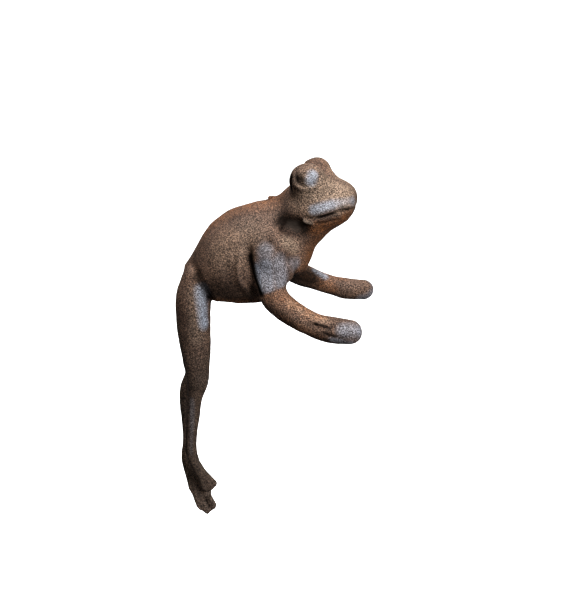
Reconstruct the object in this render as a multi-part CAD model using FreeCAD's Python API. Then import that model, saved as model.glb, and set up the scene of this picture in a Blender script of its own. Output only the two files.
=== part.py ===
"""Cast-iron frog that hangs on the rim of a plant pot.

The figure is a hollow casting in two halves that meet on the middle plane Y = 0. Each half carries a
solid arm and a solid leg, and two slotted screws pull the halves together through bosses inside the body.

Frame: millimetres, +X forward (the way the frog looks), +Y to the frog's left, +Z up. The origin is the
middle of the flat belly seat that lies on the pot's rim.
"""

import FreeCAD, Part
import math
import os

from FreeCAD import Vector

# ---------------------------------------------------------------- driving dimensions
WALL = 3.5  # casting wall of the hollow body
SEAT_HEIGHT = 0.0  # the flat belly seat, which the rim touches
BODY_TILT = 26.0  # degrees that the line from rump to snout rises
SECTION_POINTS = 20  # points on each body section
LIMB_POINTS = 12  # points on each limb section

SCREW_RADIUS = 2.5  # M5
SCREW_CLEARANCE = 0.25  # round the shank in the left half
THREAD_CLEARANCE = 0.05  # round the threaded end in the right half
HEAD_RADIUS = 4.25
HEAD_HEIGHT = 3.3
SLOT_WIDTH = 1.2
SLOT_DEPTH = 1.3
COUNTERBORE_RADIUS = 5.0
COUNTERBORE_FLOOR = 17.0  # distance of the head's seat from the middle plane
THREAD_END = 12.0  # how far a screw reaches past the middle plane
HOLE_END = 13.5  # depth of the tapped hole
BOSS_RADIUS = 7.0
SPIGOT_RADIUS = 4.0  # the left boss steps into the right one and lines the halves up
SPIGOT_HEIGHT = 1.5
SPIGOT_CLEARANCE = 0.15
REACH = 200.0  # longer than the figure, for cutting boxes

# Body sections, square to the rump-to-snout line: distance along it, lower and upper edge above it, and
# half width.
BODY_SECTIONS = [
    (-24.0, 8.5, 29.0, 14.5),
    (-15.0, -2.6, 35.5, 21.5),
    (-4.0, -9.0, 42.4, 26.0),
    (7.0, -10.0, 44.9, 27.8),
    (16.0, -5.4, 45.2, 26.6),
    (24.0, -1.6, 44.0, 23.5),
    (31.0, -0.6, 42.2, 20.0),
    (37.5, 2.8, 41.9, 17.5),
    (44.0, 8.6, 43.5, 18.0),
    (51.0, 11.8, 44.8, 19.4),
    (58.0, 14.2, 42.2, 19.2),
    (64.5, 16.0, 37.6, 16.6),
]
# Round ends of the body: the centre's place along and above the line, then the radii along it, above it
# and sideways.
RUMP_END = ((-18.0, 18.9), (12.3, 11.7, 16.6))
SNOUT_END = ((60.6, 25.8), (14.4, 11.4, 17.4))

# Limb stations: x, y, z of the centre, then the half depth and the half width. The breast and the brow are
# given for the right side, and the left side mirrors them.
RIGHT_ARM = [
    (13.0, -17.0, 33.0, 10.0, 9.0),
    (14.5, -23.0, 24.0, 9.3, 7.8),
    (16.0, -27.5, 14.5, 8.2, 7.0),
    (20.0, -31.0, 6.0, 7.4, 6.8),
    (29.0, -33.5, 0.0, 6.5, 6.6),
    (39.0, -36.0, -4.0, 6.3, 6.4),
    (48.0, -38.0, -6.0, 6.9, 7.0),
    (58.0, -39.6, -6.3, 6.3, 6.8),
]
LEFT_ARM = [
    (13.0, 17.0, 33.0, 10.0, 9.0),
    (14.5, 22.5, 23.0, 9.3, 7.8),
    (16.5, 26.5, 12.0, 8.2, 7.0),
    (20.5, 29.5, 5.2, 6.8, 6.8),
    (29.0, 33.0, 0.5, 6.0, 6.2),
    (39.0, 36.0, -3.5, 5.8, 6.0),
    (48.0, 38.0, -6.0, 6.2, 6.8),
    (58.0, 39.6, -6.6, 5.8, 6.6),
]
BREAST = [
    (17.0, -16.0, 32.0, 8.0, 8.0),
    (24.0, -15.0, 25.0, 7.0, 7.0),
    (27.5, -11.5, 20.5, 5.0, 6.0),
]
BROW = [
    (35.0, -8.5, 62.0, 6.5, 6.5),
    (42.0, -7.0, 59.0, 4.9, 5.5),
    (49.0, -5.5, 54.6, 4.8, 5.2),
]
RIGHT_LEG = [
    (-24.5, -13.0, 10.0, 9.0, 9.0),
    (-27.7, -14.3, 0.0, 9.7, 9.7),
    (-27.9, -14.6, -14.0, 9.4, 9.4),
    (-27.3, -14.2, -28.0, 8.4, 8.2),
    (-27.0, -13.4, -40.0, 6.9, 6.8),
    (-27.1, -12.7, -48.0, 6.2, 6.0),
    (-28.9, -11.7, -57.0, 4.5, 4.9),
    (-30.7, -10.3, -69.0, 3.9, 4.2),
    (-32.3, -9.0, -82.0, 3.3, 3.5),
    (-33.0, -8.1, -91.0, 3.4, 3.4),
    (-31.4, -6.8, -99.0, 3.2, 3.5),
    (-28.7, -5.0, -106.0, 2.9, 3.6),
    (-25.6, -3.2, -111.6, 2.2, 3.0),
]
LEFT_LEG = [
    (-27.5, 12.0, 10.0, 8.6, 8.6),
    (-32.4, 13.6, 0.0, 9.0, 9.2),
    (-34.0, 14.0, -14.0, 8.7, 9.2),
    (-33.6, 13.3, -28.0, 7.6, 8.0),
    (-32.9, 12.2, -40.0, 6.4, 6.7),
    (-33.6, 11.2, -49.0, 5.6, 5.9),
    (-38.2, 10.0, -60.0, 5.0, 5.2),
    (-39.0, 8.9, -71.0, 4.7, 5.0),
    (-38.7, 7.7, -84.0, 3.6, 3.8),
    (-38.6, 6.6, -93.0, 3.4, 3.4),
    (-38.9, 5.0, -102.0, 3.9, 3.2),
    (-34.8, 2.0, -111.0, 5.2, 2.7),
    (-30.4, -0.6, -117.5, 6.4, 2.3),
    (-28.0, -2.4, -122.5, 5.4, 1.9),
]
# Toes: the place in the foot where they start, then the middle of each tip.
RIGHT_TOES = (
    (-30.6, -6.6, -101.0),
    [(-21.7, -1.2, -113.8), (-23.6, -3.4, -115.4), (-26.6, -4.9, -115.6)],
)
LEFT_TOES = (
    (-37.4, 4.4, -105.0),
    [(-36.1, 0.2, -118.6), (-30.4, -3.2, -127.4), (-26.2, -3.8, -130.4), (-21.9, -2.6, -127.2)],
)
TOE_ROOT_RADIUS = 2.2
TOE_TIP_RADIUS = 1.9
WEB_THICKNESS = 2.4

# Eye bulges: the centre, then the radii along X, Y and Z.
RIGHT_EYE = ((32.4, -12.4, 64.3), (9.0, 7.8, 8.7))
LEFT_EYE = ((34.0, 12.2, 64.6), (7.4, 6.9, 7.4))

GATE_CENTRE = (12.6, 0.0, 51.2)  # remnant of the casting's gate, on the seam at the nape
GATE_SIZE = (5.0, 3.6, 4.6)

SCREW_PLACES = [("shoulder_screw", (12.0, 32.0)), ("rump_screw", (-14.0, 24.0))]  # x, z of each axis


# ---------------------------------------------------------------- lofted shapes
def closed_curve(points):
    """A smooth closed wire through the points. Evenly spaced knots keep lofts between such wires light."""
    knots = [float(i) for i in range(len(points) + 1)]
    curve = Part.BSplineCurve()
    curve.interpolate(Points=points, PeriodicFlag=True, Parameters=knots)
    return Part.Wire([curve.toShape()])


def oval(centre, side, other, half_side, half_other, count):
    """An ellipse as a closed wire, with its first point on the side axis."""
    turn = 2 * math.pi / count
    points = [
        centre + side * (half_side * math.cos(turn * i)) + other * (half_other * math.sin(turn * i))
        for i in range(count)
    ]
    return closed_curve(points)


def body_axes():
    """The directions along the rump-to-snout line and square to it, in the middle plane."""
    tilt = math.radians(BODY_TILT)
    return Vector(math.cos(tilt), 0, math.sin(tilt)), Vector(-math.sin(tilt), 0, math.cos(tilt))


def body_point(along, above):
    """A point of the middle plane, from its place on the rump-to-snout line."""
    line, up = body_axes()
    return line * along + up * above


def body_loft(inset):
    """The torso, neck and head between their end sections, drawn in by the inset."""
    side = Vector(0, 1, 0)
    up = body_axes()[1]
    wires = []
    for along, lower, upper, half_width in BODY_SECTIONS:
        centre = body_point(along, (upper + lower) / 2)
        half_height = (upper - lower) / 2
        wires.append(oval(centre, side, up, half_width - inset, half_height - inset, SECTION_POINTS))
    return Part.makeLoft(wires, True, False)


def ellipsoid(centre, first, second, third):
    """An ellipsoid from its centre and its three half axes, with its poles on the third one."""
    matrix = FreeCAD.Matrix(
        first.x, second.x, third.x, centre.x,
        first.y, second.y, third.y, centre.y,
        first.z, second.z, third.z, centre.z,
        0, 0, 0, 1,
    )
    return Part.makeSphere(1.0).transformGeometry(matrix)


def body_end(place, radii):
    """A round end of the body."""
    line, up = body_axes()
    along_radius, above_radius, side_radius = radii
    return ellipsoid(body_point(*place), line * along_radius, up * above_radius, Vector(0, -side_radius, 0))


def flat_bottomed(shape, height):
    """The shape without what is under a level plane."""
    return shape.cut(Part.makeBox(2 * REACH, 2 * REACH, REACH, Vector(-REACH, -REACH, height - REACH)))


def body_outside():
    """The torso, neck and head, cut flat under the belly."""
    shape = body_loft(0).fuse(body_end(*RUMP_END)).fuse(body_end(*SNOUT_END))
    return flat_bottomed(shape, SEAT_HEIGHT)


def body_inside():
    """The hollow of the torso and head, a wall's thickness inside them."""
    return flat_bottomed(body_loft(WALL), SEAT_HEIGHT + WALL)


def limb_axes(centres, i):
    """The direction of a limb at one of its stations, and the two directions of its section there."""
    along = centres[min(i + 1, len(centres) - 1)] - centres[max(i - 1, 0)]
    along.normalize()
    side = Vector(0, 1, 0) - along * along.y
    side.normalize()
    return along, side, along.cross(side)


def limb(stations):
    """A tapering limb along its stations, with a dome on its ends."""
    centres = [Vector(*station[:3]) for station in stations]
    last = len(stations) - 1
    profiles = []
    for i, (centre, (_, _, _, half_depth, half_width)) in enumerate(zip(centres, stations)):
        along, side, other = limb_axes(centres, i)
        angles = (0, 40, 70) if i in (0, last) else (0,)
        outward = along * (min(half_depth, half_width) * (-1 if i == 0 else 1))
        rings = []
        for angle in angles:
            shrink = math.cos(math.radians(angle))
            middle = centre + outward * math.sin(math.radians(angle))
            rings.append(oval(middle, side, other, half_width * shrink, half_depth * shrink, LIMB_POINTS))
        if i == 0:
            profiles = [Part.Vertex(centre + outward), *reversed(rings)]
        else:
            profiles.extend(rings)
    profiles.append(Part.Vertex(centre + outward))
    return Part.makeLoft(profiles, True, False)


def mirrored(stations):
    """The same stations on the other side of the middle plane."""
    return [(x, -y, z, *radii) for x, y, z, *radii in stations]


def toe(root, tip):
    """One toe: a slim cone from inside the foot, with a rounded tip."""
    start = Vector(*root)
    end = Vector(*tip)
    length = (end - start).Length
    cone = Part.makeCone(TOE_ROOT_RADIUS, TOE_TIP_RADIUS, length, start, end - start)
    return cone.fuse(Part.makeSphere(TOE_TIP_RADIUS, end))


def web(root, first_tip, second_tip):
    """The skin between two toes: a flat triangle of even thickness."""
    corners = [Vector(*corner) for corner in (root, first_tip, second_tip)]
    normal = (corners[1] - corners[0]).cross(corners[2] - corners[0])
    normal.normalize()
    face = Part.Face(Part.makePolygon([*corners, corners[0]]))
    face.translate(normal * (-WEB_THICKNESS / 2))
    return face.extrude(normal * WEB_THICKNESS)


def leg(stations, toes):
    """A leg with its webbed toes."""
    root, tips = toes
    shape = limb(stations)
    for tip in tips:
        shape = shape.fuse(toe(root, tip))
    for first_tip, second_tip in zip(tips, tips[1:]):
        shape = shape.fuse(web(root, first_tip, second_tip))
    return shape


def eye_bulge(centre, radii):
    """The bulge of one eye."""
    forward, side, high = radii
    return ellipsoid(Vector(*centre), Vector(forward, 0, 0), Vector(0, side, 0), Vector(0, 0, high))


def gate_remnant():
    """The stub that fettling left on the seam."""
    stub = Part.makeBox(*GATE_SIZE, Vector(*(c - s / 2 for c, s in zip(GATE_CENTRE, GATE_SIZE))))
    stub.rotate(Vector(*GATE_CENTRE), Vector(0, 1, 0), -4)
    return stub


# ---------------------------------------------------------------- the two halves
def half_space(side):
    """Everything on one side of the middle plane: side is 1 for the left and -1 for the right."""
    return Part.makeBox(2 * REACH, REACH, 2 * REACH, Vector(-REACH, 0 if side > 0 else -REACH, -REACH))


def cross_cylinder(place, radius, start, end):
    """A cylinder along Y between two distances from the middle plane."""
    x, z = place
    return Part.makeCylinder(radius, end - start, Vector(x, start, z), Vector(0, 1, 0))


def casting(side, extras):
    """One half as cast, before drilling: the half shell with its bosses and the solid forms fused onto it."""
    mine = half_space(side)
    solid = body_outside().common(mine).fuse(gate_remnant().common(mine))
    for extra in extras:
        solid = solid.fuse(extra)
    cavity = body_inside().common(mine)
    for _, place in SCREW_PLACES:
        cavity = cavity.cut(cross_cylinder(place, BOSS_RADIUS, -REACH, REACH))
    return solid.cut(cavity)


def right_half():
    """The half that holds the threads: blind tapped holes and a recess for each spigot."""
    head = [limb(BROW), eye_bulge(*RIGHT_EYE)]
    shape = casting(-1, [*head, limb(BREAST), limb(RIGHT_ARM), leg(RIGHT_LEG, RIGHT_TOES)])
    recess = SPIGOT_HEIGHT + SPIGOT_CLEARANCE
    for _, place in SCREW_PLACES:
        shape = shape.cut(cross_cylinder(place, SCREW_RADIUS + THREAD_CLEARANCE, -HOLE_END, 0))
        shape = shape.cut(cross_cylinder(place, SPIGOT_RADIUS + SPIGOT_CLEARANCE, -recess, 0))
    return shape


def left_half():
    """The half that the screws pass through: a spigot, a clearance hole and a counterbore on each axis."""
    head = [limb(mirrored(BROW)), eye_bulge(*LEFT_EYE)]
    shape = casting(1, [*head, limb(mirrored(BREAST)), limb(LEFT_ARM), leg(LEFT_LEG, LEFT_TOES)])
    for _, place in SCREW_PLACES:
        shape = shape.fuse(cross_cylinder(place, SPIGOT_RADIUS, -SPIGOT_HEIGHT, 1))
        shape = shape.cut(cross_cylinder(place, SCREW_RADIUS + SCREW_CLEARANCE, -REACH, REACH))
        shape = shape.cut(cross_cylinder(place, COUNTERBORE_RADIUS, COUNTERBORE_FLOOR, REACH))
    return shape


def screw(place):
    """A slotted cheese-head screw, put in from the left."""
    x, z = place
    shank = cross_cylinder(place, SCREW_RADIUS, -THREAD_END, COUNTERBORE_FLOOR)
    head = cross_cylinder(place, HEAD_RADIUS, COUNTERBORE_FLOOR, COUNTERBORE_FLOOR + HEAD_HEIGHT)
    slot_floor = COUNTERBORE_FLOOR + HEAD_HEIGHT - SLOT_DEPTH
    corner = Vector(x - HEAD_RADIUS, slot_floor, z - SLOT_WIDTH / 2)
    slot = Part.makeBox(2 * HEAD_RADIUS, SLOT_DEPTH, SLOT_WIDTH, corner)
    return shank.fuse(head).cut(slot)


def save(name, shape):
    """Writes one node."""
    print(name, shape.isValid(), len(shape.Solids), "solid", round(shape.Volume / 1000, 1), "cm3")
    shape.exportStep(os.path.join("parts", name + ".step"))


def main():
    os.makedirs("parts", exist_ok=True)
    save("right_half", right_half())
    save("left_half", left_half())
    for name, place in SCREW_PLACES:
        save(name, screw(place))


main()
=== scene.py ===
"""Looks of the cast-iron frog that hangs on a pot's rim.

The two halves of the casting are sculpted here as distance fields in millimetres. They have the same forms as
the CAD solids, plus what the solids leave out: blended limbs, mouth, folds and the lumps of a sand casting.
"""

import math

import bpy
import numpy as np
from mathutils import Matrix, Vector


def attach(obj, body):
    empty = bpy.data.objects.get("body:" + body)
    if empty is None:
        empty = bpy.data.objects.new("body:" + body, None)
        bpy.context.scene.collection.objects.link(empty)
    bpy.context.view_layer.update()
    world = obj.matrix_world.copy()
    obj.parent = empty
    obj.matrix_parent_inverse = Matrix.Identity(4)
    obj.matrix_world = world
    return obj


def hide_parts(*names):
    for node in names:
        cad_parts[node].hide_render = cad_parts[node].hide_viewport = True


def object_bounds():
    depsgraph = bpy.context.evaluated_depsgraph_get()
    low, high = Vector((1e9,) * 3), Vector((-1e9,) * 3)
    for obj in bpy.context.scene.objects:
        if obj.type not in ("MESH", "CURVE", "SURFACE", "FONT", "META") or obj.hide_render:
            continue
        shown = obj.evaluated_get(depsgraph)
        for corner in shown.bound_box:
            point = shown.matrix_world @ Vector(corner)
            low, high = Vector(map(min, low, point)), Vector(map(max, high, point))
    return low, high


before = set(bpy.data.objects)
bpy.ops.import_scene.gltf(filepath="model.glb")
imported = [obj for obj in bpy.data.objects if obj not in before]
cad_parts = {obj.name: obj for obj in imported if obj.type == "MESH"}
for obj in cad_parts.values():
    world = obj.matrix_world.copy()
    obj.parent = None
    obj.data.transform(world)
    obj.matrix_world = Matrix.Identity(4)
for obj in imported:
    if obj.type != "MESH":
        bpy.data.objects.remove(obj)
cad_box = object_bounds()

import openvdb
from mathutils import Matrix, Vector

MM = 0.001
# Sizes are in mm. The voxels don't line up with the planes y = 0 and z = 0, so the faces there stay clean.
VOXEL = 0.58
GRID_LOW = (-48.0, -50.0, -136.0)
GRID_HIGH = (68.0, 14.0, 76.0)  # of the right half; the left half is built on the mirrored grid
FAR = 60.0  # field value where nothing is near
WALL = 3.5
THINNEST_WALL = 1.8  # under the deepest grooves
SHRINK = 0.2  # makes room for the lumps of the casting inside the CAD solids' box
TRIM = 0.05  # clearance to the CAD solids' box
rng = np.random.default_rng(20240611)

# ------------------------------------------------------------------ the forms, as in the CAD model
BODY_TILT = math.radians(26.0)
BODY_LINE = np.array([math.cos(BODY_TILT), 0.0, math.sin(BODY_TILT)])
BODY_UP = np.array([-math.sin(BODY_TILT), 0.0, math.cos(BODY_TILT)])
# distance along the rump-to-snout line, lower and upper edge above it, half width
BODY_SECTIONS = np.array([
    (-24.0, 8.5, 29.0, 14.5),
    (-15.0, -2.6, 35.5, 21.5),
    (-4.0, -9.0, 42.4, 26.0),
    (7.0, -10.0, 44.9, 27.8),
    (16.0, -5.4, 45.2, 26.6),
    (24.0, -1.6, 44.0, 23.5),
    (31.0, -0.6, 42.2, 20.0),
    (37.5, 2.8, 41.9, 17.5),
    (44.0, 8.6, 43.5, 18.0),
    (51.0, 11.8, 44.8, 19.4),
    (58.0, 14.2, 42.2, 19.2),
    (64.5, 16.0, 37.6, 16.6),
])
BODY_BOX = ((-48.0, -34.0, -20.0), (64.0, 14.0, 76.0))  # two corners of a box round it, on the right half
# round ends: distance along and above the line, then the radii along, above and across it
RUMP_END = ((-18.0, 18.9), (12.3, 11.7, 16.6))
SNOUT_END = ((60.6, 25.8), (14.4, 11.4, 17.4))

# limbs: x, y, z of the centre, half depth, half width
RIGHT_ARM = np.array([
    (13.0, -17.0, 33.0, 10.0, 9.0),
    (14.5, -23.0, 24.0, 9.3, 7.8),
    (16.0, -27.5, 14.5, 8.2, 7.0),
    (20.0, -31.0, 6.0, 7.4, 6.8),
    (29.0, -33.5, 0.0, 6.5, 6.6),
    (39.0, -36.0, -4.0, 6.3, 6.4),
    (48.0, -38.0, -6.0, 6.9, 7.0),
    (58.0, -39.6, -6.3, 6.3, 6.8),
])
LEFT_ARM = np.array([
    (13.0, 17.0, 33.0, 10.0, 9.0),
    (14.5, 22.5, 23.0, 9.3, 7.8),
    (16.5, 26.5, 12.0, 8.2, 7.0),
    (20.5, 29.5, 5.2, 6.8, 6.8),
    (29.0, 33.0, 0.5, 6.0, 6.2),
    (39.0, 36.0, -3.5, 5.8, 6.0),
    (48.0, 38.0, -6.0, 6.2, 6.8),
    (58.0, 39.6, -6.6, 5.8, 6.6),
])
BREAST = np.array([
    (17.0, -16.0, 32.0, 8.0, 8.0),
    (24.0, -15.0, 25.0, 7.0, 7.0),
    (27.5, -11.5, 20.5, 5.0, 6.0),
])
BROW = np.array([
    (35.0, -8.5, 62.0, 6.5, 6.5),
    (42.0, -7.0, 59.0, 4.9, 5.5),
    (49.0, -5.5, 54.6, 4.8, 5.2),
])
RIGHT_LEG = np.array([
    (-24.5, -13.0, 10.0, 9.0, 9.0),
    (-27.7, -14.3, 0.0, 9.7, 9.7),
    (-27.9, -14.6, -14.0, 9.4, 9.4),
    (-27.3, -14.2, -28.0, 8.4, 8.2),
    (-27.0, -13.4, -40.0, 6.9, 6.8),
    (-27.1, -12.7, -48.0, 6.2, 6.0),
    (-28.9, -11.7, -57.0, 4.5, 4.9),
    (-30.7, -10.3, -69.0, 3.9, 4.2),
    (-32.3, -9.0, -82.0, 3.3, 3.5),
    (-33.0, -8.1, -91.0, 3.4, 3.4),
    (-31.4, -6.8, -99.0, 3.2, 3.5),
    (-28.7, -5.0, -106.0, 2.9, 3.6),
    (-25.6, -3.2, -111.6, 2.2, 3.0),
])
LEFT_LEG = np.array([
    (-27.5, 12.0, 10.0, 8.6, 8.6),
    (-32.4, 13.6, 0.0, 9.0, 9.2),
    (-34.0, 14.0, -14.0, 8.7, 9.2),
    (-33.6, 13.3, -28.0, 7.6, 8.0),
    (-32.9, 12.2, -40.0, 6.4, 6.7),
    (-33.6, 11.2, -49.0, 5.6, 5.9),
    (-38.2, 10.0, -60.0, 5.0, 5.2),
    (-39.0, 8.9, -71.0, 4.7, 5.0),
    (-38.7, 7.7, -84.0, 3.6, 3.8),
    (-38.6, 6.6, -93.0, 3.4, 3.4),
    (-38.9, 5.0, -102.0, 3.9, 3.2),
    (-34.8, 2.0, -111.0, 5.2, 2.7),
    (-30.4, -0.6, -117.5, 6.4, 2.3),
    (-28.0, -2.4, -122.5, 5.4, 1.9),
])
# Toes: the place in the foot where they start, then the middle of each tip.
RIGHT_TOES = (
    (-30.6, -6.6, -101.0),
    [(-21.7, -1.2, -113.8), (-23.6, -3.4, -115.4), (-26.6, -4.9, -115.6)],
)
LEFT_TOES = (
    (-37.4, 4.4, -105.0),
    [(-36.1, 0.2, -118.6), (-30.4, -3.2, -127.4), (-26.2, -3.8, -130.4), (-21.9, -2.6, -127.2)],
)
TOE_RADII = (2.2, 1.9)
WEB_THICKNESS = 2.4
WEB_MARGIN = 2.3  # how far the web reaches past the middles of the toe tips
# centre and radii
RIGHT_EYE = ((32.4, -12.4, 64.3), (9.0, 7.8, 8.7))
LEFT_EYE = ((34.0, 12.2, 64.6), (7.4, 6.9, 7.4))
# the stub where the metal was poured in
GATE_CENTRE = (12.6, 0.0, 51.2)
GATE_HALF = (2.5, 1.8, 2.3)
SCREW_PLACES = ((12.0, 32.0), (-14.0, 24.0))  # x, z

# round every screw: radii of the boss and of the bores, and how far they reach from the seam
BOSS_RADIUS = 7.0
TAP_RADIUS, TAP_DEPTH = 2.55, 13.5
CLEARANCE_RADIUS = 2.75
COUNTERBORE_RADIUS, COUNTERBORE_START = 5.0, 17.0
SPIGOT_RADIUS, SPIGOT_HEIGHT = 4.0, 1.5
SOCKET_RADIUS, SOCKET_DEPTH = 4.15, 1.65
SEAM_OVERLAP = 1.0  # how far the cuts and the spigots start on the other side of the seam's face
THROUGH = 60.0  # past the outside of the body
SEAM_BOTTOM = -60.0  # z; the feet below it cross the plane between the halves

# ------------------------------------------------------------------ what the solids leave out
BREAST_INSET = np.array([1.0, 0.0, 0.0, 1.6, 1.6])  # leaves room for the fillet round the breast
# the skin between the upper arm and the breast
ARMPIT_FOLD = np.array([
    (15.5, -24.0, 27.0, 7.5, 7.5),
    (20.5, -23.5, 21.0, 6.5, 6.5),
    (22.0, -22.0, 18.0, 5.0, 5.0),
])

# radii of the fillets where the forms meet
BLEND = {
    "body_end": 3.0, "eye": 5.0, "brow": 6.0, "breast": 8.0, "arm": 6.0, "armpit": 5.0, "leg": 3.0,
    "foot": 1.5, "eyeball": 1.2,
}
# size and height of the casting's lumps
LUMPS = ((9.0, 0.22), (4.0, 0.13), (1.9, 0.08))

# Strokes of the sculptor, for the right side: points on the skin, half width, height (a groove is negative).
FOOT_GROOVE = (0.7, -0.5)
FOOT_GROOVE_STEPS = (0.3, 0.55, 0.85)  # along a web from where the toes start
CLEAR_OF_WEB = 2.0  # a groove's points start this far off the web's middle and drop onto its skin
STROKES = [
    # mouth: slit, its shallow end round the nose, overhanging upper lip, lower lip and the crease under it
    ([(30.6, -19.4, 46.9), (34.0, -19.8, 46.0), (37.5, -19.4, 46.0), (41.0, -18.6, 47.0), (44.9, -17.2, 48.4),
      (49.7, -14.6, 49.7), (53.2, -10.6, 50.0)], 0.7, -2.2),
    ([(52.6, -11.0, 50.0), (55.0, -6.6, 49.8), (56.0, -3.0, 49.7), (56.2, 0.0, 49.6)], 0.6, -0.9),
    ([(37.0, -19.8, 48.6), (41.0, -19.0, 49.4), (44.9, -17.2, 50.8), (49.7, -14.6, 52.0), (53.6, -9.4, 52.0)],
     1.6, 0.6),
    ([(35.4, -19.0, 43.0), (40.0, -17.8, 43.0), (44.6, -15.8, 44.4), (49.0, -13.0, 45.6)], 0.9, -0.7),
    ([(30.2, -19.3, 45.4), (32.4, -19.4, 44.0), (35.2, -19.0, 43.2), (38.0, -18.4, 43.0)], 0.9, 1.6),
    # the hollow behind the corner of the jaw
    ([(19.0, -17.0, 41.0), (25.0, -18.1, 41.4), (32.0, -18.8, 40.6)], 3.6, -4.6),
    # crease behind the eye
    ([(25.6, -17.0, 67.5), (24.2, -16.0, 63.5), (24.6, -14.6, 60.0)], 1.2, -1.6),
    # nostril
    ([(52.8, -6.2, 58.6), (53.5, -5.6, 58.2)], 0.8, -0.9),
    # flank: crease behind the arm, the narrow fold in front of it and the hollow before the fold
    ([(5.0, -25.0, 32.0), (5.6, -26.8, 24.0), (6.8, -28.0, 18.0), (9.6, -31.0, 12.0), (12.6, -34.0, 7.4)],
     2.0, -2.4),
    ([(0.6, -26.0, 29.5), (-0.4, -27.7, 22.0), (0.2, -27.4, 15.0), (3.4, -25.4, 8.6), (6.4, -22.6, 3.6)],
     1.5, 1.1),
    ([(-7.5, -26.0, 23.0), (-6.0, -27.0, 16.5), (-3.0, -26.5, 9.0)], 2.6, -0.5),
    # crease between thigh and belly
    ([(-28.4, -12.8, 19.3), (-23.9, -20.3, 14.9), (-21.0, -21.6, 9.5), (-18.0, -21.4, 4.7),
      (-16.8, -19.8, 0.2)], 1.7, -2.2),
    # crease between shoulder and neck, fold under the flat front of the upper arm, lump on the breast
    ([(14.4, -25.5, 37.0), (18.5, -26.8, 32.0), (22.0, -26.5, 27.4), (26.0, -22.5, 24.6)], 1.8, -1.3),
    ([(11.6, -33.6, 8.6), (15.0, -35.6, 10.2), (19.0, -35.9, 11.8), (24.0, -31.0, 13.4)], 0.9, -0.9),
    ([(22.0, -20.5, 34.5), (25.5, -20.0, 31.0)], 3.0, 0.8),
    # thumb and finger lines on the hand
    ([(40.6, -42.0, -1.8), (44.0, -43.6, -3.4), (48.5, -44.2, -3.0), (52.5, -44.2, -2.4)], 0.8, -1.3),
    ([(44.9, -44.3, -5.4), (50.0, -45.3, -7.4), (56.0, -45.6, -7.2)], 0.8, -0.8),
    ([(38.0, -41.0, -0.6), (42.8, -42.6, -1.0), (46.0, -42.8, -0.8)], 1.0, 0.7),
]
EYEBALL = ((33.2, -15.0, 66.8), (6.6, 4.3, 5.0))
# closed lines round the eyeball: the groove at its edge and the swollen lids outside it
EYE_RIM = [
    (28.2, -15.9, 69.4), (31.7, -14.6, 71.2), (35.7, -15.5, 70.4), (39.2, -16.1, 66.8), (35.9, -19.1, 63.6),
    (32.0, -19.6, 62.8), (28.6, -18.6, 64.8),
]
EYE_LIDS = [
    (26.6, -15.2, 69.6), (31.6, -12.9, 72.6), (37.0, -14.0, 71.6), (41.2, -15.4, 66.6), (36.4, -18.9, 61.8),
    (31.6, -19.2, 60.9), (27.0, -18.0, 63.4),
]
EYE_SOCKET = [(28.2, -18.4, 66.8), (29.8, -19.4, 65.9), (31.4, -19.9, 65.4)]
# points, half width, height, and whether the line is closed
EYE_STROKES = [(EYE_RIM, 0.7, -0.9, True), (EYE_LIDS, 1.0, 0.5, True), (EYE_SOCKET, 1.3, -0.9, False)]


# ------------------------------------------------------------------ distance fields
def smooth_table(rows, spacing):
    """Rows of a station table, resampled on a Catmull-Rom curve that runs through them."""
    padded = np.vstack([2 * rows[0] - rows[1], rows, 2 * rows[-1] - rows[-2]])
    fine = []
    for before, start, end, after in zip(padded, padded[1:], padded[2:], padded[3:]):
        count = max(1, int(np.ceil(np.linalg.norm((end - start)[:3]) / spacing)))
        for t in np.arange(count) / count:
            fine.append(
                0.5 * (2 * start + (end - before) * t + (2 * before - 5 * start + 4 * end - after) * t**2
                       + (3 * start - before - 3 * end + after) * t**3)
            )
    return np.array(fine + [rows[-1]])


def smooth_min(a, b, blend):
    """The union of two fields, with a fillet."""
    h = np.maximum(blend - np.abs(a - b), 0.0) / blend
    return np.minimum(a, b) - h * h * (blend / 4)


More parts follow.
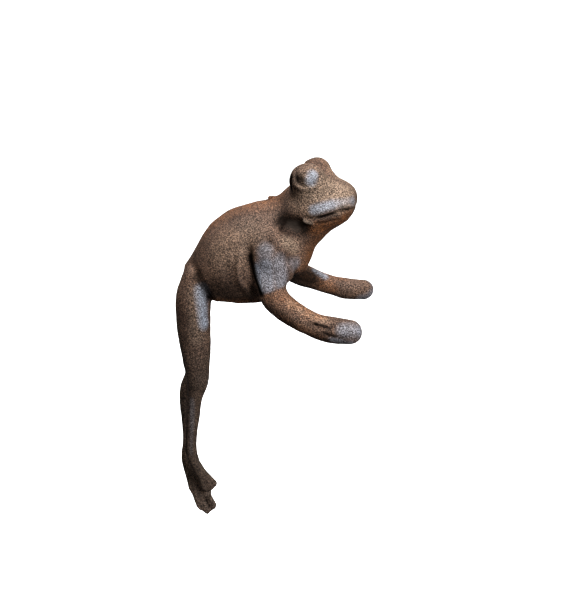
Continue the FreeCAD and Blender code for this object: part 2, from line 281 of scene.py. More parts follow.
class Clay:
    """A block of voxels that holds one half's field. On both halves -Y is the outer side."""

    def __init__(self):
        counts = [int(round((high - low) / VOXEL)) + 1 for low, high in zip(GRID_LOW, GRID_HIGH)]
        self.axes = [np.float32(low + VOXEL * np.arange(n)) for low, n in zip(GRID_LOW, counts)]
        self.field = np.full(counts, FAR, np.float32)

    def window(self, low, high):
        """The slices and the coordinates of the voxels between two corners."""
        slices = []
        for axis, a, b in zip(self.axes, low, high):
            first = max(0, int(np.searchsorted(axis, a)) - 1)
            last = min(len(axis), int(np.searchsorted(axis, b)) + 1)
            slices.append(slice(first, last))
        x, y, z = (axis[s] for axis, s in zip(self.axes, slices))
        return tuple(slices), x[:, None, None], y[None, :, None], z[None, None, :]

    def join(self, part, blend):
        """Adds a part, given as (slices, field)."""
        slices, values = part
        self.field[slices] = smooth_min(self.field[slices], values, blend)

    def keep_within(self, box, left):
        """Trims whatever stands out of a box given in metres."""
        low, high = (np.array(corner) / MM for corner in box)
        if left:
            low[1], high[1] = -high[1], -low[1]
        for i, axis in enumerate(self.axes):
            shape = [1, 1, 1]
            shape[i] = len(axis)
            outside = np.maximum(low[i] - axis, axis - high[i]) + TRIM
            self.field = np.maximum(self.field, outside.reshape(shape))

    def sample(self, points):
        """The field and its gradient at some points."""
        low = np.array(GRID_LOW)
        place = (np.asarray(points) - low) / VOXEL
        base = np.clip(np.floor(place).astype(int), 0, np.array(self.field.shape) - 2)
        t = place - base
        values = 0.0
        gradient = np.zeros_like(place)
        for corner in np.ndindex(2, 2, 2):
            c = np.array(corner)
            weights = np.where(c, t, 1 - t)
            value = self.field[tuple((base + c).T)]
            values = values + value * weights.prod(axis=1)
            for axis in range(3):
                others = [i for i in range(3) if i != axis]
                sign = 1 if c[axis] else -1
                gradient[:, axis] += sign * value * weights[:, others].prod(axis=1) / VOXEL
        return values, gradient

    def onto_skin(self, points):
        """Moves points along the field's gradient to the surface."""
        points = np.array(points, float)
        for _ in range(8):
            values, gradient = self.sample(points)
            length = np.maximum((gradient**2).sum(axis=1), 0.1)
            points -= np.clip(values / length, -2, 2)[:, None] * gradient
        return points

    def stroke(self, points, width, height, closed=False):
        """Raises or carves the skin along a line, fading out at the line's ends."""
        rows = np.array(points, float)
        if closed:
            rows = np.vstack([rows, rows[:1]])
        path = self.onto_skin(smooth_table(rows, 1.0))
        reach = 2.6 * width
        slices, x, y, z = self.window(path.min(axis=0) - reach, path.max(axis=0) + reach)
        shape = self.field[slices].shape
        nearest = np.full(shape, FAR, np.float32)
        along = np.zeros(shape, np.float32)
        last = len(path) - 1
        for i in range(last):
            a, d = path[i], path[i + 1] - path[i]
            if d @ d < 1e-9:
                continue
            t = np.clip(((x - a[0]) * d[0] + (y - a[1]) * d[1] + (z - a[2]) * d[2]) / (d @ d), 0, 1)
            gap = np.sqrt((x - a[0] - t * d[0]) ** 2 + (y - a[1] - t * d[1]) ** 2
                          + (z - a[2] - t * d[2]) ** 2)
            closer = gap < nearest
            nearest = np.where(closer, gap, nearest)
            along = np.where(closer, i + t, along)
        fade = 1.0
        ramp = min(3, last / 2)
        if not closed:
            fade = np.clip(along / ramp + 0.25, 0, 1)
        if not closed and abs(rows[-1][1]) > 0.1:  # one that ends on the seam keeps its full height there
            fade = fade * np.clip((last - along) / ramp + 0.25, 0, 1)
        self.field[slices] -= height * fade * np.exp(-((nearest / width) ** 2))


def ellipsoid_part(clay, centre, radii, axes=np.eye(3), margin=6.0):
    """An ellipsoid as a part."""
    centre = np.array(centre, float)
    spread = np.sqrt(((np.array(axes) * np.array(radii)[:, None]) ** 2).sum(axis=0)) + margin
    slices, x, y, z = clay.window(centre - spread, centre + spread)
    first = second = 0.0
    for axis, radius in zip(axes, radii):
        u = (x - centre[0]) * axis[0] + (y - centre[1]) * axis[1] + (z - centre[2]) * axis[2]
        first = first + (u / radius) ** 2
        second = second + (u / radius**2) ** 2
    first = np.sqrt(first)
    return slices, (first * (first - 1) / np.maximum(np.sqrt(second), 1e-3)).astype(np.float32)


def limb_part(clay, stations, margin=6.0):
    """A tapering limb with elliptical sections as a part."""
    fine = smooth_table(stations, 3.0)
    reach = fine[:, 3:].max() + margin
    slices, x, y, z = clay.window(fine[:, :3].min(axis=0) - reach, fine[:, :3].max(axis=0) + reach)
    low = [s.start for s in slices]
    values = np.full([s.stop - s.start for s in slices], FAR, np.float32)
    for start, end in zip(fine, fine[1:]):
        a, d = start[:3], end[:3] - start[:3]
        length = np.linalg.norm(d)
        along = d / length
        side = np.array([0.0, 1.0, 0.0]) - along * along[1]
        side /= np.linalg.norm(side)
        other = np.cross(along, side)
        near = max(start[3:].max(), end[3:].max()) + margin
        part, x, y, z = clay.window(np.minimum(a, end[:3]) - near, np.maximum(a, end[:3]) + near)
        inner = tuple(slice(s.start - b, s.stop - b) for s, b in zip(part, low))
        px, py, pz = x - a[0], y - a[1], z - a[2]
        t = np.clip((px * along[0] + py * along[1] + pz * along[2]) / length, 0, 1)
        px, py, pz = px - t * d[0], py - t * d[1], pz - t * d[2]
        depth = start[3] + (end[3] - start[3]) * t
        width = start[4] + (end[4] - start[4]) * t
        u = px * side[0] + py * side[1] + pz * side[2]
        v = px * other[0] + py * other[1] + pz * other[2]
        w = px * along[0] + py * along[1] + pz * along[2]
        thin = np.minimum(depth, width)
        first = np.sqrt((u / width) ** 2 + (v / depth) ** 2 + (w / thin) ** 2)
        second = np.sqrt((u / width**2) ** 2 + (v / depth**2) ** 2 + (w / thin**2) ** 2)
        d_here = np.where(second > 1e-3, first * (first - 1) / np.maximum(second, 1e-3), -thin)
        values[inner] = np.minimum(values[inner], d_here)
    return slices, values


def body_part(clay, inset, margin=6.0):
    """The torso, neck and head between their end sections, drawn in by the inset."""
    rows = smooth_table(BODY_SECTIONS, 1.0)
    slices, x, y, z = clay.window(*BODY_BOX)
    s = x * BODY_LINE[0] + z * BODY_LINE[2]
    above = x * BODY_UP[0] + z * BODY_UP[2]
    middle = np.interp(s, rows[:, 0], (rows[:, 1] + rows[:, 2]) / 2)
    half_height = np.interp(s, rows[:, 0], (rows[:, 2] - rows[:, 1]) / 2) - inset
    half_width = np.interp(s, rows[:, 0], rows[:, 3]) - inset
    u, v = y / half_width, (above - middle) / half_height
    first = np.sqrt(u**2 + v**2)
    second = np.sqrt((u / half_width) ** 2 + (v / half_height) ** 2)
    values = first * (first - 1) / np.maximum(second, 1e-3)
    values = np.maximum(values, np.maximum(BODY_SECTIONS[0, 0] - s, s - BODY_SECTIONS[-1, 0]))
    return slices, values.astype(np.float32)


def body_end_part(clay, end):
    """A round end of the body as a part."""
    (along, above), (line_radius, up_radius, side_radius) = end
    centre = BODY_LINE * along + BODY_UP * above
    axes = (BODY_LINE, BODY_UP, np.array([0.0, 1.0, 0.0]))
    return ellipsoid_part(clay, centre, (line_radius, up_radius, side_radius), axes, margin=12.0)


def toe_part(clay, root, tip):
    """A toe as a part."""
    rows = np.array([(*root, TOE_RADII[0], TOE_RADII[0]), (*tip, TOE_RADII[1], TOE_RADII[1])])
    return limb_part(clay, rows, margin=4.0)


def web_part(clay, root, first, second, margin=4.0):
    """The skin between two toes as a part: a flat triangle of even thickness."""
    corners = [root, first, second]
    slices, x, y, z = clay.window(np.min(corners, axis=0) - margin, np.max(corners, axis=0) + margin)
    normal = np.cross(first - root, second - root)
    normal /= np.linalg.norm(normal)

    def height(origin, direction):
        px, py, pz = x - origin[0], y - origin[1], z - origin[2]
        return px * direction[0] + py * direction[1] + pz * direction[2]

    values = np.abs(height(root, normal)) - WEB_THICKNESS / 2
    for start, end in zip(corners, corners[1:] + corners[:1]):
        outward = np.cross(end - start, normal)
        values = np.maximum(values, height(start, outward / np.linalg.norm(outward)))
    return slices, values.astype(np.float32)


def noise_field(clay, cell):
    """Smooth random lumps of about the cell's size, between about -1 and 1."""
    weights = []
    counts = []
    for axis in clay.axes:
        n = int((axis[-1] - axis[0]) / cell) + 4
        place = (axis - axis[0]) / cell + 1
        base = np.floor(place).astype(int)
        t = (place - base)[:, None]
        cubic = np.concatenate([
            (1 - t) ** 3 / 6,
            (3 * t**3 - 6 * t**2 + 4) / 6,
            (-3 * t**3 + 3 * t**2 + 3 * t + 1) / 6,
            t**3 / 6,
        ], axis=1)
        matrix = np.zeros((len(axis), n), np.float32)
        for k in range(4):
            np.add.at(matrix, (np.arange(len(axis)), np.clip(base - 1 + k, 0, n - 1)), cubic[:, k])
        weights.append(matrix)
        counts.append(n)
    lattice = rng.normal(0, 1.6, counts).astype(np.float32)
    out = np.tensordot(weights[0], lattice, (1, 0))
    out = np.tensordot(out, weights[1], (1, 1)).transpose(0, 2, 1)
    return np.tensordot(out, weights[2], (2, 1))


# ------------------------------------------------------------------ sculpting one half
def mirrored(rows):
    """A station table on the other side."""
    rows = np.array(rows, float)
    rows[:, 1] *= -1
    return rows


def across_cylinder(clay, place, radius, start, end):
    """A cylinder along Y between two distances from the seam, as a field over the whole block."""
    x, y, z = clay.axes
    gap = np.sqrt((x[:, None] - place[0]) ** 2 + (z[None, :] - place[1]) ** 2) - radius
    middle, half = (start + end) / 2, (end - start) / 2
    return np.maximum(gap[:, None, :], (np.abs(y - middle) - half)[None, :, None])


def cavity_field(clay):
    """The hollow inside the casting, with the bosses left standing."""
    cavity = np.full(clay.field.shape, FAR, np.float32)
    slices, values = body_part(clay, WALL)
    cavity[slices] = values
    cavity = np.maximum(cavity, WALL - clay.axes[2][None, None, :])
    for place in SCREW_PLACES:
        cavity = np.maximum(cavity, -across_cylinder(clay, place, BOSS_RADIUS, -THROUGH, THROUGH))
    return cavity


def shape_body(clay, left):
    """Torso, head, brow and eye, cut off at the flat seat."""
    slices, values = body_part(clay, 0.0)
    clay.field[slices] = values
    for end in (RUMP_END, SNOUT_END):
        clay.join(body_end_part(clay, end), BLEND["body_end"])
    (eye_x, eye_y, eye_z), eye_radii = LEFT_EYE if left else RIGHT_EYE
    clay.join(ellipsoid_part(clay, (eye_x, -abs(eye_y), eye_z), eye_radii), BLEND["eye"])
    clay.join(limb_part(clay, BROW), BLEND["brow"])
    clay.join(limb_part(clay, BREAST - BREAST_INSET), BLEND["breast"])
    clay.field = np.maximum(clay.field, -clay.axes[2][None, None, :])


def shape_foot(clay, root, tips):
    """Toes, the webs between them and a groove along both faces of each web."""
    for tip in tips:
        clay.join(toe_part(clay, root, tip), BLEND["foot"])
    for pair in zip(tips, tips[1:]):
        outer = [tip + (tip - root) * (WEB_MARGIN / np.linalg.norm(tip - root)) for tip in pair]
        clay.join(web_part(clay, root, *outer), BLEND["foot"])
    for first, second in zip(tips, tips[1:]):
        off_web = np.cross(first - root, second - root)
        off_web *= CLEAR_OF_WEB / np.linalg.norm(off_web)
        along = (first + second) / 2 - root
        for lift in (off_web, -off_web):
            clay.stroke([root + step * along + lift for step in FOOT_GROOVE_STEPS], *FOOT_GROOVE)


def shape_limbs(clay, left):
    """Arm, armpit, leg and foot."""
    clay.join(limb_part(clay, mirrored(LEFT_ARM) if left else RIGHT_ARM), BLEND["arm"])
    clay.join(limb_part(clay, ARMPIT_FOLD), BLEND["armpit"])
    leg, (root, tips) = (mirrored(LEFT_LEG), LEFT_TOES) if left else (RIGHT_LEG, RIGHT_TOES)
    clay.join(limb_part(clay, leg), BLEND["leg"])
    flip = np.array([1, -1 if left else 1, 1])
    shape_foot(clay, np.array(root) * flip, np.array(tips) * flip)


def carve_details(clay):
    """Mouth, folds, creases, finger lines, the eyeball and the stub of the casting's gate."""
    for points, width, height in STROKES:
        clay.stroke(points, width, height)
    clay.join(ellipsoid_part(clay, *EYEBALL, margin=3.0), BLEND["eyeball"])
    for points, width, height, closed in EYE_STROKES:
        clay.stroke(points, width, height, closed)
    gate = [np.abs(a - c) - h for a, c, h in zip(clay.axes, GATE_CENTRE, GATE_HALF)]
    box = np.maximum(np.maximum(gate[0][:, None, None], gate[1][None, :, None]), gate[2][None, None, :])
    clay.field = np.minimum(clay.field, box)


def bore_bosses(clay, left):
    """Spigots, clearance holes and counterbores on the left; tapped holes and sockets on the right."""
    def cut(*cylinder):
        clay.field = np.maximum(clay.field, -across_cylinder(clay, *cylinder))

    for place in SCREW_PLACES:
        if left:
            spigot = across_cylinder(clay, place, SPIGOT_RADIUS, -SEAM_OVERLAP, SPIGOT_HEIGHT)
            clay.field = np.minimum(clay.field, spigot)
            cut(place, CLEARANCE_RADIUS, -THROUGH, THROUGH)
            cut(place, COUNTERBORE_RADIUS, -THROUGH, -COUNTERBORE_START)
        else:
            cut(place, TAP_RADIUS, -TAP_DEPTH, SEAM_OVERLAP)
            cut(place, SOCKET_RADIUS, -SOCKET_DEPTH, SEAM_OVERLAP)


def sculpt(left):
    """The field of one half. Both are worked with their outer side towards -Y."""
    clay = Clay()
    shape_body(clay, left)
    shape_limbs(clay, left)
    carve_details(clay)
    clay.field += SHRINK
    for cell, height in LUMPS:
        clay.field += height * noise_field(clay, cell)
    clay.keep_within(cad_box, left)
    cavity = np.maximum(cavity_field(clay), clay.field + THINNEST_WALL)
    seam = np.where(clay.axes[2][None, None, :] > SEAM_BOTTOM, clay.axes[1][None, :, None], -FAR)
    clay.field = np.maximum(clay.field, seam)
    clay.field = np.maximum(clay.field, -cavity)
    bore_bosses(clay, left)
    return clay


def skin_mesh(name, clay, left):
    """The closed surface of a field, in metres and in the shared frame."""
    band = 3 * VOXEL
    grid = openvdb.FloatGrid(band)
    grid.copyFromArray(np.clip(clay.field, -band, band).astype(np.float64))
    points, quads = grid.convertToQuads(0.0)
    points = np.array(GRID_LOW) + points * VOXEL
    if left:
        points[:, 1] *= -1
    mesh = bpy.data.meshes.new(name)
    mesh.vertices.add(len(points))
    mesh.vertices.foreach_set("co", (points * MM).ravel())
    corners = quads[:, ::-1] if left else quads
    mesh.loops.add(corners.size)
    mesh.loops.foreach_set("vertex_index", corners.ravel().astype(np.int32))
    mesh.polygons.add(len(corners))
    mesh.polygons.foreach_set("loop_start", np.arange(len(corners), dtype=np.int32) * 4)
    mesh.update(calc_edges=True)
    mesh.validate()
    mesh.polygons.foreach_set("use_smooth", np.ones(len(corners), bool))
    paint(mesh, clay, points, left)
    return mesh


# ------------------------------------------------------------------ what the paint knows about the skin
# Where the casting gets painted sheen (partly wear), painted light, rust with painted warm bounce light, or
# painted shade: both ends of a stretch, the radius round it, and how much. A stretch on the right is repeated
# on the left, and one that is wholly on the left isn't repeated.
# painted sheen, partly wear: a bluish grey that stands in for reflected light on the lip, eye, thigh, shin
# and hand tips, partly rubbed metal
WEAR_AND_SHEEN = [
    ((37.0, -19.5, 50.6), (46.0, -17.0, 53.2), 2.4, 0.9),
    ((46.0, -17.0, 53.2), (55.0, -8.0, 53.6), 2.2, 0.7),
    ((36.4, -18.6, 68.0), (35.4, -19.2, 65.4), 2.6, 1.0),
    ((-21.0, -23.0, 7.0), (-19.5, -21.0, -12.0), 3.4, 1.0),
    ((56.0, -45.0, -3.6), (62.0, -42.0, -5.0), 3.6, 0.6),
    ((31.5, 30.5, 6.0), (36.5, 31.5, 3.0), 2.2, 0.9),
    ((-29.6, -15.6, -57.0), (-32.0, -12.4, -92.0), 1.4, 0.2),
    ((50.0, -45.0, -9.5), (59.0, -44.0, -9.5), 1.8, 0.6),
    ((57.0, 36.0, -9.5), (63.0, 37.0, -8.0), 2.8, 0.6),
]
# painted reflection: the bluish sheen on the flat front of the upper arm, which faces the light
SHOULDER_SHEEN = [
    ((9.6, -31.0, 22.0), (11.8, -33.8, 10.0), 2.8, 1.0),
    ((14.0, -30.0, 31.0), (14.5, -32.0, 26.0), 4.0, 0.4),
    ((14.5, -32.0, 24.0), (15.5, -36.0, 13.0), 4.4, 0.7),
    ((20.0, -29.0, 25.0), (23.0, -32.0, 15.0), 4.4, 0.5),
    ((22.0, -26.0, 23.0), (28.0, -19.5, 22.0), 3.4, 0.42),
]
BEND_REACHES = (1.2, 3.5)  # how far round a point its creases and ridges are judged
CREASE_GAIN, CREASE_SHARE = 3.0, 0.6
RIDGE_GAIN, RIDGE_START = 2.5, 0.25
LOW_START, LOW_LENGTH = -6.0, 40.0  # the legs get darker from this z down, over this length
ELBOW_EDGE = (11.6, 8.4, 0.36)  # x and z of one end of the fold under the shoulder's flat, and its slope; the painted reflection on the shoulder stops at this line, where the arm turns from the light
# painted light: lighter patches where the snout, cheek, breast, lower lip, forearm, flank and thigh face the
# light
LIT_PATCHES = [
    ((36.0, -16.0, 61.0), (50.0, -11.0, 57.0), 8.5, 1.0),
    ((28.0, -18.0, 56.0), (36.0, -18.0, 53.0), 6.0, 0.6),
    ((23.0, -21.6, 33.5), (26.0, -19.0, 31.0), 3.6, 0.8),
    ((28.0, -37.0, 6.5), (46.0, -41.0, 0.5), 2.4, 0.7),
    ((30.2, -19.3, 45.0), (36.0, -19.0, 43.2), 1.3, 1.0),
    ((4.0, -22.0, 36.0), (-8.0, -24.0, 28.0), 9.0, 0.35),
    ((-24.0, -24.0, 6.0), (-24.0, -23.0, -20.0), 4.0, 0.4),
]
# orange-brown: partly rust, partly painted warm light bounced up from below onto the throat, lower jaw and
# underside of the belly
RUST_AND_BOUNCE = [
    ((-22.0, 0.0, 37.0), (12.0, 0.0, 53.0), 10.0, 0.65),
    ((53.0, -9.0, 45.5), (38.0, -15.0, 40.0), 4.5, 1.0),
    ((44.0, -4.0, 36.0), (32.0, -6.0, 16.0), 9.0, 1.0),
    ((18.0, -33.0, 9.0), (44.0, -38.0, 1.0), 4.6, 0.5),
    ((-14.0, -18.0, 0.0), (6.0, -22.0, 0.0), 4.0, 0.8),
    ((40.0, 9.0, 68.0), (31.0, 12.0, 72.0), 6.0, 0.2),
    ((24.0, -38.0, -2.0), (44.0, -42.0, -10.0), 3.0, 0.35),
    ((26.0, 24.0, 6.0), (40.0, 31.0, -4.0), 4.0, 0.6),
]
# painted shade: near black where shadow falls, behind the jaw, under and behind the arms, between the shins,
# in the eye socket, the mouth slit and the finger lines
PAINTED_SHADE = [
    ((21.0, -16.0, 43.6), (31.0, -17.8, 40.2), 4.4, 1.0),
    ((-14.0, -24.0, 8.0), (2.0, -26.0, 5.0), 6.5, 0.7),
    ((5.6, -27.0, 27.0), (11.0, -32.0, 10.0), 2.4, 1.0),
    ((-24.0, -20.0, 14.0), (-17.0, -20.0, 2.0), 2.6, 0.8),
    ((28.6, -19.2, 66.2), (31.0, -20.0, 65.2), 2.0, 0.7),
    ((24.5, -16.0, 66.0), (24.5, -14.8, 60.0), 1.8, 0.9),
    ((20.0, 12.0, 13.0), (30.0, 24.0, 3.0), 8.0, 1.0),
    ((22.5, -15.0, 16.5), (25.0, -8.0, 12.0), 3.6, 1.0),
    ((21.0, 22.0, 6.0), (26.5, 26.0, 3.5), 5.0, 1.0),
    ((-33.8, -11.5, -54.0), (-36.0, -8.8, -92.0), 2.3, 1.0),
    ((-36.0, 5.5, -50.0), (-37.2, 4.2, -98.0), 1.6, 1.0),
    ((30.6, -19.4, 46.9), (37.5, -19.4, 46.0), 0.7, 1.0),
    ((37.5, -19.4, 46.0), (44.9, -17.2, 48.4), 0.7, 1.0),
    ((44.9, -17.2, 48.4), (53.2, -10.6, 50.0), 0.7, 1.0),
    ((40.6, -42.0, -1.8), (48.5, -44.2, -3.0), 0.7, 0.9),
    ((44.9, -44.3, -5.4), (52.0, -45.4, -7.4), 0.7, 0.8),
    ((15.0, -38.0, 4.0), (30.0, -39.0, -3.0), 2.4, 0.5),
]


# the dark lines between the toes, painted shade in the grooves, on their own foot only
FOOT_LINES = [
    (root + 0.25 * (middle - root), root + 0.95 * (middle - root), 1.2, 1.5)
    for root, tips in ((np.array(toes[0]), np.array(toes[1])) for toes in (RIGHT_TOES, LEFT_TOES))
    for middle in (tips[:-1] + tips[1:]) / 2
]


def stretch_mask(points, stretches, both_sides=True):
    """How strongly each point lies on any of the stretches, from 0 to 1."""
    mask = np.zeros(len(points))
    for start, end, radius, amount in stretches:
        a, b = np.array(start), np.array(end)
        side = points.copy()
        if both_sides and a[1] + b[1] <= 0:
            side[:, 1] = -np.abs(side[:, 1])
        d = b - a
        t = np.clip((side - a) @ d / max(d @ d, 1e-9), 0, 1)
        gap = np.linalg.norm(side - a - t[:, None] * d, axis=1)
        mask = np.maximum(mask, amount * np.clip(1.5 - gap / radius, 0, 1))
    return mask


def bend(clay, points, reach):
    """How the skin bends near each point: positive on ridges, negative in creases."""
    low, high = np.array(GRID_LOW) + 1, np.array(GRID_HIGH) - 1
    total = 0.0
    for axis in range(3):
        for sign in (-1, 1):
            step = np.zeros(3)
            step[axis] = sign * reach
            total = total + clay.sample(np.clip(points + step, low, high))[0]
    return total / 6 / reach


def paint(mesh, clay, points, left):
    """Stores what the material needs to know about each point of the skin."""
    inside = points.copy()
    if left:
        inside[:, 1] *= -1
    small, large = (bend(clay, inside, reach) for reach in BEND_REACHES)
    edge_x, edge_z, slope = ELBOW_EDGE
    above_edge = points[:, 2] - edge_z - slope * (points[:, 0] - edge_x)
    # the shoulder's painted reflection, cut off below the fold at the elbow
    shoulder = stretch_mask(points, SHOULDER_SHEEN) * np.clip(above_edge / 1.5, 0, 1)
    values = {
        # painted reflection and wear: the bluish sheen stretches and the shoulder's painted reflection
        "wear_and_sheen": np.maximum(stretch_mask(points, WEAR_AND_SHEEN), shoulder),
        # pale: painted light on the patches that face the light
        "pale": stretch_mask(points, LIT_PATCHES),
        # rust, and painted warm bounce light on the throat, jaw and belly
        "rust_and_bounce": stretch_mask(points, RUST_AND_BOUNCE),
        # painted shade, and the painted shade in the grooves between the toes
        "painted_shade": np.maximum(stretch_mask(points, PAINTED_SHADE), stretch_mask(points, FOOT_LINES, both_sides=False)),
        # crease: painted shade, deepest where the skin bends inwards
        "crease": sum(CREASE_SHARE * np.clip(-CREASE_GAIN * curve, 0, 1) for curve in (small, large)),
        "ridge": np.clip(RIDGE_GAIN * small - RIDGE_START, 0, 1),
        "low": np.clip((LOW_START - points[:, 2]) / LOW_LENGTH, 0, 1),
    }
    for name, value in values.items():
        layer = mesh.attributes.new(name, "FLOAT", "POINT")
        layer.data.foreach_set("value", value.astype(np.float32))


# ------------------------------------------------------------------ camera, light and floor
CAMERA_AZIMUTH, CAMERA_ELEVATION = math.radians(9.3), math.radians(16.5)
CAMERA_PLACE = (0.1048, -0.5183, 0.1526)
FRAME_HEIGHT, LENS = 36.0, 61.2  # mm: the sensor's long side and the focal length


def add_camera():
    """The camera, level from side to side and without depth of field."""
    sin_a, cos_a = math.sin(CAMERA_AZIMUTH), math.cos(CAMERA_AZIMUTH)
    sin_e, cos_e = math.sin(CAMERA_ELEVATION), math.cos(CAMERA_ELEVATION)
    right = Vector((cos_a, sin_a, 0))
    forward = Vector((-sin_a * cos_e, cos_a * cos_e, -sin_e))
    up = right.cross(forward)
    data = bpy.data.cameras.new("camera")
    data.sensor_width = FRAME_HEIGHT
    data.lens = LENS
    data.clip_start = 0.01
    camera = bpy.data.objects.new("camera", data)
    turn = Matrix((right, up, -forward)).transposed().to_4x4()
    camera.matrix_world = Matrix.Translation(CAMERA_PLACE) @ turn
    bpy.context.scene.collection.objects.link(camera)
    bpy.context.scene.camera = camera


def add_area_light(name, place, target, size, power, colour):
    """A square light that faces its target."""
    data = bpy.data.lights.new(name, "AREA")
    data.shape = "SQUARE"
    data.size = size
    data.energy = power
    data.color = colour
    light = bpy.data.objects.new(name, data)
    light.location = place
    light.rotation_euler = (Vector(target) - Vector(place)).to_track_quat("-Z", "Y").to_euler()
    bpy.context.scene.collection.objects.link(light)


def add_backdrop():
    """A pale floor that sweeps up into a wall far behind."""
    floor_z, wall_y, bend_radius, half, top = -0.32, 3.0, 1.2, 5.0, 4.0
    profile = [(-4.0, floor_z), (wall_y - bend_radius, floor_z)]
    for step in range(1, 13):
        angle = math.radians(90 * step / 12)
        profile.append((wall_y - bend_radius + bend_radius * math.sin(angle),
                        floor_z + bend_radius * (1 - math.cos(angle))))
    profile.append((wall_y, top))
    points = [(x, y, z) for y, z in profile for x in (-half, half)]
    faces = [(2 * i, 2 * i + 1, 2 * i + 3, 2 * i + 2) for i in range(len(profile) - 1)]
    mesh = bpy.data.meshes.new("floor")
    mesh.from_pydata(points, [], faces)
    mesh.polygons.foreach_set("use_smooth", [True] * len(faces))
    floor = bpy.data.objects.new("floor", mesh)
    bpy.context.scene.collection.objects.link(floor)
    material = bpy.data.materials.new("floor")
    material.use_nodes = True
    shader = material.node_tree.nodes["Principled BSDF"]
    shader.inputs["Base Color"].default_value = (0.94, 0.94, 0.94, 1)
    shader.inputs["Roughness"].default_value = 0.9
    mesh.materials.append(material)
    floor.visible_diffuse = False
    floor.visible_glossy = False


# ------------------------------------------------------------------ materials
def node(tree, kind, **settings):
    """A new shader node."""
    made = tree.nodes.new(kind)
    for key, value in settings.items():
        setattr(made, key, value)
    return made


NOISE_SCALES = {"broad": 60, "blotch": 260, "grain": 1700, "fine": 3600}  # waves per metre
BROWNS = [(0.30, (0.027, 0.015, 0.010)), (0.5, (0.047, 0.027, 0.018)), (0.70, (0.074, 0.043, 0.028))]
# colour of the painted light on the lit patches
LIT_PATCH_COLOUR = (0.135, 0.094, 0.066)
# orange-brown of rust and of the painted warm bounce light
RUST_AND_BOUNCE_COLOUR = (0.110, 0.040, 0.012)
LOW_COLOUR = (0.026, 0.018, 0.013)
# bluish grey of the painted reflection, partly the colour of rubbed metal
WEAR_AND_SHEEN_COLOUR = (0.125, 0.140, 0.170)
# near black of the painted shade
SHADE_COLOUR = (0.0035, 0.0025, 0.002)
RIDGE_COLOUR = (0.13, 0.10, 0.08)
# how much lighter or darker the single grains are
SPECKLE = [
    (0.36, (0.05, 0.045, 0.04)), (0.46, (0.46, 0.44, 0.42)),
    (0.54, (1.15, 1.15, 1.15)), (0.66, (3.1, 2.9, 2.7)),
]
ROUGHEST, SMOOTHEST = 0.66, 0.36
GRAIN_RELIEF = 0.0005  # m


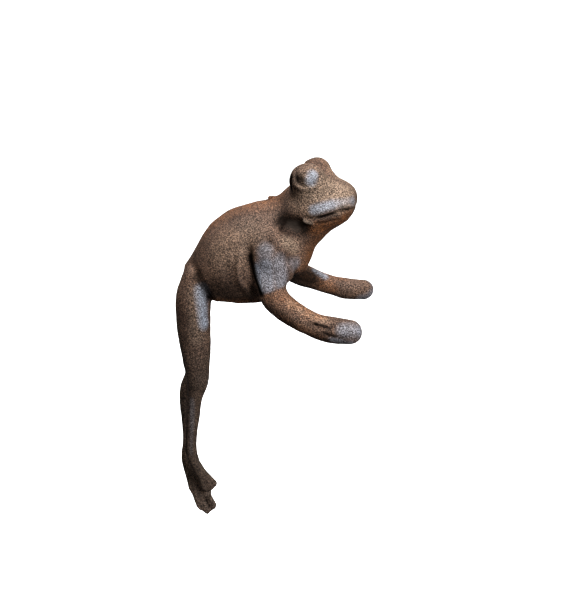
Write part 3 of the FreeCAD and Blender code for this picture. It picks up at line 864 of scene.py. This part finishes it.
def iron_material():
    """Sand-cast iron: rust-brown with pale grains, worn and with a painted bluish reflection where it's
    touched, painted light on its lit patches, and painted shade, black, in its creases and shaded hollows.
    """
    material = bpy.data.materials.new("rusty_cast_iron")
    material.use_nodes = True
    tree = material.node_tree
    shader = tree.nodes["Principled BSDF"]
    link = tree.links.new
    place = node(tree, "ShaderNodeTexCoord")

    def noise(name, detail, roughness=0.6):
        made = node(tree, "ShaderNodeTexNoise")
        link(place.outputs["Object"], made.inputs["Vector"])
        made.inputs["Scale"].default_value = NOISE_SCALES[name]
        made.inputs["Detail"].default_value = detail
        made.inputs["Roughness"].default_value = roughness
        return made.outputs["Fac"]

    def ramp(source, stops):
        made = node(tree, "ShaderNodeValToRGB")
        link(source, made.inputs["Fac"])
        elements = made.color_ramp.elements
        while len(elements) < len(stops):
            elements.new(0.5)
        for element, (position, colour) in zip(elements, stops):
            element.position = position
            element.color = (*colour, 1)
        return made.outputs["Color"]

    def mix(kind, amount, a, b):
        made = node(tree, "ShaderNodeMix", data_type="RGBA", blend_type=kind)
        for value, socket in ((amount, made.inputs[0]), (a, made.inputs[6]), (b, made.inputs[7])):
            if isinstance(value, (int, float)):
                socket.default_value = value
            elif isinstance(value, tuple):
                socket.default_value = (*value, 1)
            else:
                link(value, socket)
        return made.outputs[2]

    def attribute(name):
        return node(tree, "ShaderNodeAttribute", attribute_name=name).outputs["Fac"]

    def math_node(operation, *values, clamp=True):
        made = node(tree, "ShaderNodeMath", operation=operation, use_clamp=clamp)
        for socket, value in zip(made.inputs, values):
            if isinstance(value, (int, float)):
                socket.default_value = value
            else:
                link(value, socket)
        return made.outputs[0]

    def broken(mask, source, low, high):
        """A painted mask broken up by a noise: more of it is left where the noise is high."""
        made = node(tree, "ShaderNodeMapRange")
        link(source, made.inputs["Value"])
        made.inputs["From Min"].default_value = 0.3
        made.inputs["From Max"].default_value = 0.7
        made.inputs["To Min"].default_value = low
        made.inputs["To Max"].default_value = high
        return math_node("MULTIPLY", mask, made.outputs["Result"])

    broad = noise("broad", 4)
    blotch = noise("blotch", 3)
    grain = noise("grain", 2, 0.7)
    fine = noise("fine", 2)
    base = ramp(broad, BROWNS)
    # painted light on the lit patches
    colour = mix("MIX", math_node("MULTIPLY", attribute("pale"), 0.75), base, LIT_PATCH_COLOUR)
    # rust, and painted warm bounce light, broken up by a noise
    colour = mix("MIX", broken(attribute("rust_and_bounce"), blotch, 0.35, 0.95), colour, RUST_AND_BOUNCE_COLOUR)
    colour = mix("MIX", math_node("MULTIPLY", attribute("low"), 0.75), colour, LOW_COLOUR)
    # painted sheen and wear: the bluish painted reflection, partly rubbed metal, broken up by the grain
    wear_and_sheen = broken(attribute("wear_and_sheen"), grain, 0.30, 1.0)
    colour = mix("MIX", wear_and_sheen, colour, WEAR_AND_SHEEN_COLOUR)
    speckled = math_node("SUBTRACT", 0.95, math_node("MULTIPLY", wear_and_sheen, 0.5))
    colour = mix("MULTIPLY", speckled, colour, ramp(grain, SPECKLE))
    # painted shade: the creases and the painted shade stretches go near black
    dark = math_node("ADD", attribute("crease"), math_node("MULTIPLY", attribute("painted_shade"), 0.92))
    colour = mix("MIX", dark, colour, SHADE_COLOUR)
    colour = mix("MIX", math_node("MULTIPLY", attribute("ridge"), 0.25), colour, RIDGE_COLOUR)
    link(colour, shader.inputs["Base Color"])
    shader.inputs["Metallic"].default_value = 0.0
    sheen = math_node("ADD", math_node("MULTIPLY", math_node("SUBTRACT", grain, 0.25), 0.5),
                      math_node("MULTIPLY", wear_and_sheen, 0.4))
    link(math_node("MULTIPLY", sheen, math_node("SUBTRACT", 1.0, dark)), shader.inputs["Specular IOR Level"])
    rough = node(tree, "ShaderNodeMapRange")
    link(math_node("ADD", math_node("MULTIPLY", grain, 0.6), math_node("MULTIPLY", wear_and_sheen, 0.35)),
         rough.inputs["Value"])
    rough.inputs["From Min"].default_value = 0.2
    rough.inputs["From Max"].default_value = 0.75
    rough.inputs["To Min"].default_value = ROUGHEST
    rough.inputs["To Max"].default_value = SMOOTHEST
    link(rough.outputs["Result"], shader.inputs["Roughness"])
    relief = math_node("ADD", grain, math_node("MULTIPLY", fine, 0.3), clamp=False)
    bump = node(tree, "ShaderNodeBump")
    bump.inputs["Strength"].default_value = 1.0
    bump.inputs["Distance"].default_value = GRAIN_RELIEF
    link(relief, bump.inputs["Height"])
    link(bump.outputs["Normal"], shader.inputs["Normal"])
    return material


def steel_material():
    """Zinc-plated steel with an uneven finish and spots of rust."""
    material = bpy.data.materials.new("zinc_plated_steel")
    material.use_nodes = True
    tree = material.node_tree
    shader = tree.nodes["Principled BSDF"]
    place = node(tree, "ShaderNodeTexCoord")
    marks = node(tree, "ShaderNodeTexNoise")
    marks.inputs["Scale"].default_value = 900
    spots = node(tree, "ShaderNodeTexNoise")
    spots.inputs["Scale"].default_value = 350
    for texture in (marks, spots):
        tree.links.new(place.outputs["Object"], texture.inputs["Vector"])
    ramp = node(tree, "ShaderNodeValToRGB")
    ramp.color_ramp.elements[0].position = 0.40
    ramp.color_ramp.elements[0].color = (0.42, 0.42, 0.44, 1)
    ramp.color_ramp.elements[1].position = 0.66
    ramp.color_ramp.elements[1].color = (0.16, 0.08, 0.045, 1)
    tree.links.new(spots.outputs["Fac"], ramp.inputs["Fac"])
    tree.links.new(ramp.outputs["Color"], shader.inputs["Base Color"])
    shader.inputs["Metallic"].default_value = 0.9
    rough = node(tree, "ShaderNodeMapRange")
    rough.inputs["To Min"].default_value = 0.25
    rough.inputs["To Max"].default_value = 0.6
    tree.links.new(marks.outputs["Fac"], rough.inputs["Value"])
    tree.links.new(rough.outputs["Result"], shader.inputs["Roughness"])
    bump = node(tree, "ShaderNodeBump")
    bump.inputs["Strength"].default_value = 0.4
    bump.inputs["Distance"].default_value = 0.0001
    tree.links.new(marks.outputs["Fac"], bump.inputs["Height"])
    tree.links.new(bump.outputs["Normal"], shader.inputs["Normal"])
    return material


def add_half(node_name, left, iron):
    """One half of the casting, which stands in for the CAD node."""
    clay = sculpt(left)
    mesh = skin_mesh(node_name + "_skin", clay, left)
    skin = bpy.data.objects.new(node_name + "_skin", mesh)
    bpy.context.scene.collection.objects.link(skin)
    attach(skin, "root")
    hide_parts(node_name)
    mesh.materials.append(iron)


# ------------------------------------------------------------------ the scene
scene = bpy.context.scene
scene.view_settings.view_transform = "Standard"
world = bpy.data.worlds.new("world")
scene.world = world
world.use_nodes = True
world.node_tree.nodes["Background"].inputs["Color"].default_value = (0.95, 0.97, 1.0, 1)
world.node_tree.nodes["Background"].inputs["Strength"].default_value = 0.12
add_camera()
add_backdrop()
add_area_light("key", (0.80, -0.80, 0.70), (0, 0, 0), 0.4, 50, (0.92, 0.96, 1.0))
add_area_light("front", (0.0, -1.3, 0.75), (0, 0, -0.05), 0.7, 4, (1.0, 0.94, 0.88))
add_area_light("top", (-0.3, 0.1, 1.3), (0, 0, 0), 0.8, 10, (1.0, 0.90, 0.80))
add_area_light("backdrop_light", (0, 1.0, 2.2), (0, 2.4, -0.3), 2.5, 210, (1.0, 1.0, 1.0))

iron = iron_material()
add_half("right_half", False, iron)
add_half("left_half", True, iron)
steel = steel_material()
for name in ("shoulder_screw", "rump_screw"):
    for material_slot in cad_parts[name].material_slots:
        material_slot.material = steel
